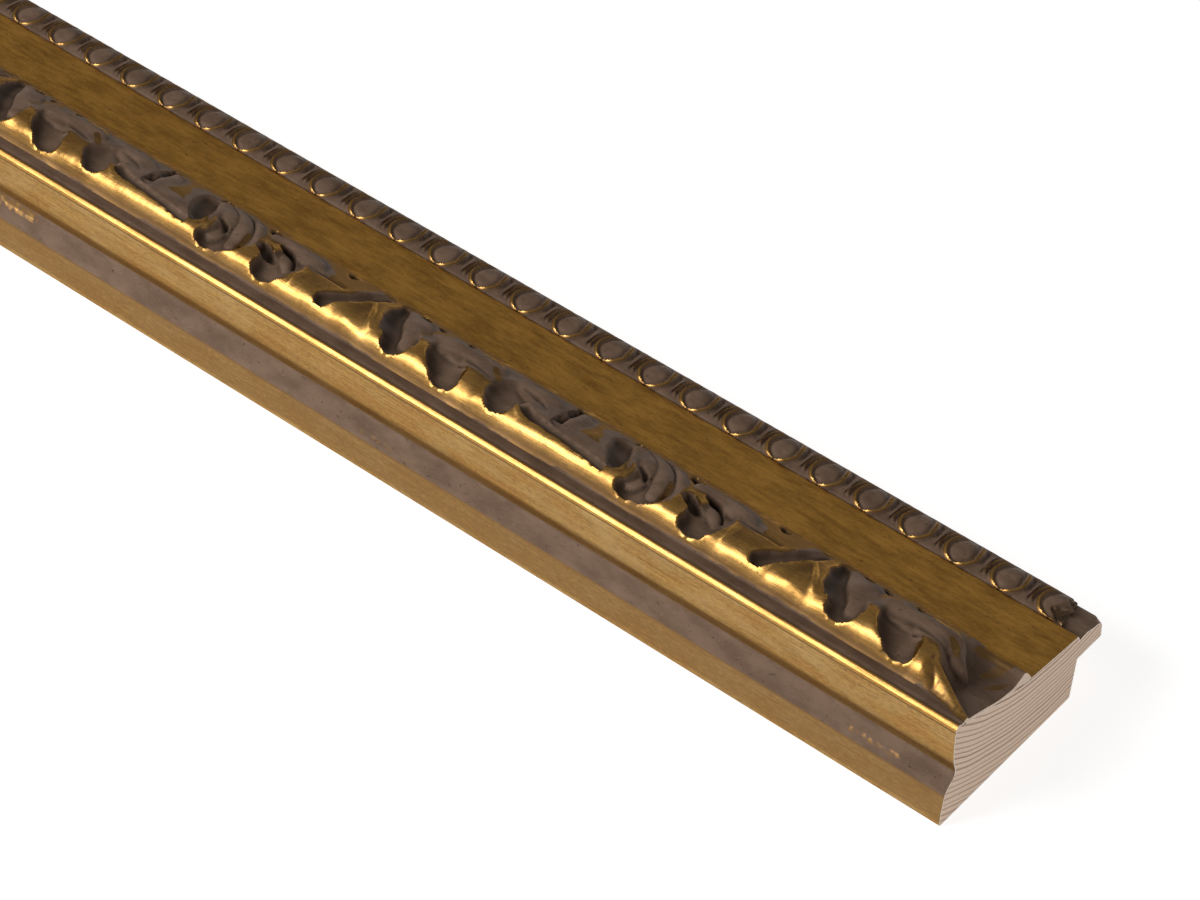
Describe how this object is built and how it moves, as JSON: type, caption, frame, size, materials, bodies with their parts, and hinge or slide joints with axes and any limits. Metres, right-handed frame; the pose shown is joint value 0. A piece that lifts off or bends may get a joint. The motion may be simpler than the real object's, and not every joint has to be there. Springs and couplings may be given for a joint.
{
  "type": "picture frame moulding",
  "caption": "Length of gilded picture frame moulding with a rabbet, a pressed acanthus strip on its shoulder and a pressed egg-and-dart strip along its sight edge.",
  "frame": {"origin": "middle of the flat back, at the centre of the bounding box's bottom face", "axes": "+X along the moulding to the cut end that faces the viewer, +Y towards the sight edge with the rabbet, +Z from the back to the ornament"},
  "size_m": [0.28, 0.0468, 0.0272],
  "materials": {
    "gilded_wood": "old gold leaf with fine lengthwise streaks on gesso, a taupe washed cove, bare wood on the cut ends and the back",
    "gilded_composition": "burnished gold on the high places, dark taupe wash in the hollows",
    "washed_composition": "dark taupe wash with thin gold on the rims of the eggs"
  },
  "bodies": {
    "root": {"wood_moulding": "gilded_wood", "acanthus_strip": "gilded_composition", "egg_and_dart_strip": "washed_composition"}
  },
  "joints": []
}
